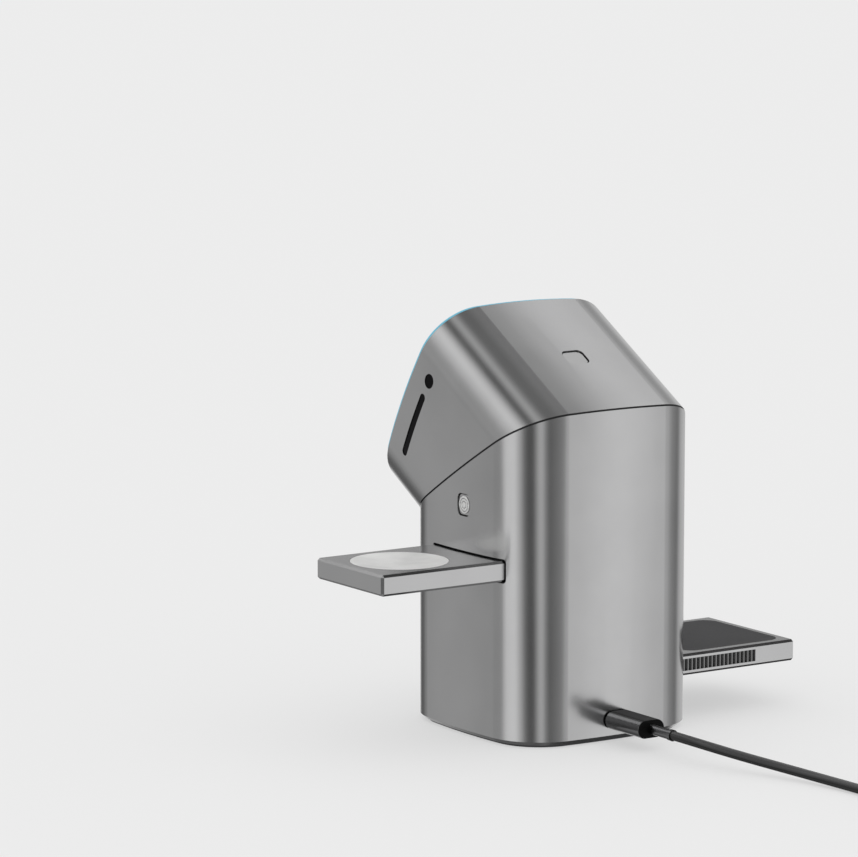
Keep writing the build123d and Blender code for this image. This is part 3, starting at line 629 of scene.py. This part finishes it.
def studio():
    """World: an even room for diffuse light, strips of light and shade for mirrored light."""
    world = bpy.data.worlds.new("studio")
    bpy.context.scene.world = world
    world.use_nodes = True
    tree = world.node_tree
    tree.nodes.clear()
    way = add(tree, "ShaderNodeTexCoord").outputs["Generated"]

    lean = add(tree, "ShaderNodeVectorRotate", rotation_type="X_AXIS")
    lean.inputs["Angle"].default_value = -math.radians(POLE_LEAN_DEG)
    tree.links.new(way, lean.inputs["Vector"])
    split = add(tree, "ShaderNodeSeparateXYZ")
    tree.links.new(lean.outputs["Vector"], split.inputs["Vector"])
    angle = value_of(tree, "ARCTAN2", split.outputs["Y"], split.outputs["X"])
    bearing = value_of(tree, "MULTIPLY_ADD", angle, 1 / (2 * math.pi), 0.5)

    height = add(tree, "ShaderNodeSeparateXYZ")
    tree.links.new(way, height.inputs["Vector"])
    rise = value_of(tree, "ARCSINE", height.outputs["Z"])
    edge = (math.radians(HIGH_STARTS_DEG), math.radians(HIGH_FULL_DEG))
    high_share = remap(tree, rise, edge, kind="SMOOTHSTEP")
    low, high = (strip_ramp(tree, bearing, strips) for strips in (LOW_STRIPS, HIGH_STRIPS))
    mirrored = flagged(tree, way, blend(tree, high_share, low, high))
    room = value_of(tree, "MULTIPLY_ADD", height.outputs["Z"], ROOM_FROM_ABOVE, ROOM_LEVEL)

    path = add(tree, "ShaderNodeLightPath")
    level = blend(tree, path.outputs["Is Glossy Ray"], room, mirrored)
    seen = blend(tree, path.outputs["Is Camera Ray"], level, BACKGROUND)
    background = add(tree, "ShaderNodeBackground")
    background.inputs["Color"].default_value = (1, 1, 1, 1)
    tree.links.new(seen, background.inputs["Strength"])
    out = add(tree, "ShaderNodeOutputWorld")
    tree.links.new(background.outputs["Background"], out.inputs["Surface"])


def camera():
    """Camera at the photograph's place."""
    lens = bpy.data.cameras.new("camera")
    lens.lens = LENS_MM
    lens.sensor_width = SENSOR_MM
    lens.clip_end = CAMERA_REACH
    holder = piece_from("camera", lens)
    holder.location = CAMERA_AT
    aim = Vector(CAMERA_LOOKS_AT) - Vector(CAMERA_AT)
    holder.rotation_euler = aim.to_track_quat("-Z", "Y").to_euler()
    bpy.context.scene.camera = holder


# Finishes, by the names of the CAD material slots
blasted_metal("satin_metal", (0.49, 0.49, 0.492), roughness=0.19)
etched_metal("button_metal", (0.50, 0.50, 0.50), roughness=0.20)
moulded("dark_seam", (0.012, 0.012, 0.013), roughness=0.6)
moulded("black_window", (0.002, 0.002, 0.0025), roughness=0.16, relief=0.02, shine=0.06)
moulded("inner_plastic", (0.035, 0.036, 0.038), roughness=0.55)
moulded("cover_plastic", (0.045, 0.046, 0.048), roughness=0.48)
moulded("gear_plastic", (0.72, 0.71, 0.66), roughness=0.42)
moulded("foot_rubber", (0.050, 0.050, 0.052), roughness=0.75, relief=0.3)
drawn_metal("steel", (0.50, 0.50, 0.51), roughness=0.30)
drawn_metal("port_steel", (0.56, 0.56, 0.57), roughness=0.28)
drawn_metal("sink_metal", (0.62, 0.62, 0.63), roughness=0.38)
board_mask("circuit_board", roughness=0.425)
wound_copper("copper", roughness=0.35)
moulded("ferrite", (0.045, 0.044, 0.045), roughness=0.65)
moulded("puck_white", (0.78, 0.78, 0.77), roughness=0.35, relief=0.05)
moulded("soft_pad", (0.028, 0.028, 0.030), roughness=0.62, relief=0.2)
moulded("face_black", (0.010, 0.010, 0.011), roughness=0.22, relief=0.03)
lit_guide("light_guide", roughness=0.32)
grip_plastic("plug_black", sheen_sides=(0.20, 0.20, 0.204), flats=(0.012, 0.012, 0.013), roughness=0.20)
cable_jacket("cable_black", below=(0.003, 0.003, 0.0033), painted_top_light=(0.072, 0.072, 0.073), roughness=0.24)

for node in cad_nodes.values():
    for slot in node.material_slots:
        slot.material = FINISHES[slot.material.name.split(".")[0]]

# Lead and its strap, which the metal doesn't mirror
lead_piece = lead()
lead_piece.data.materials.append(FINISHES["cable_black"])
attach(lead_piece, "housing")
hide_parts("lead_run", "lead_coil", "lead_tail")

strap_piece = strap()
strap_piece.data.materials.append(FINISHES["cable_black"])
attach(strap_piece, "housing")

for piece in (lead_piece, strap_piece, cad_nodes["far_neck"], cad_nodes["far_grip"], cad_nodes["far_tip"]):
    piece.visible_glossy = False

floor()
studio()
camera()
bpy.context.scene.view_settings.view_transform = "Standard"
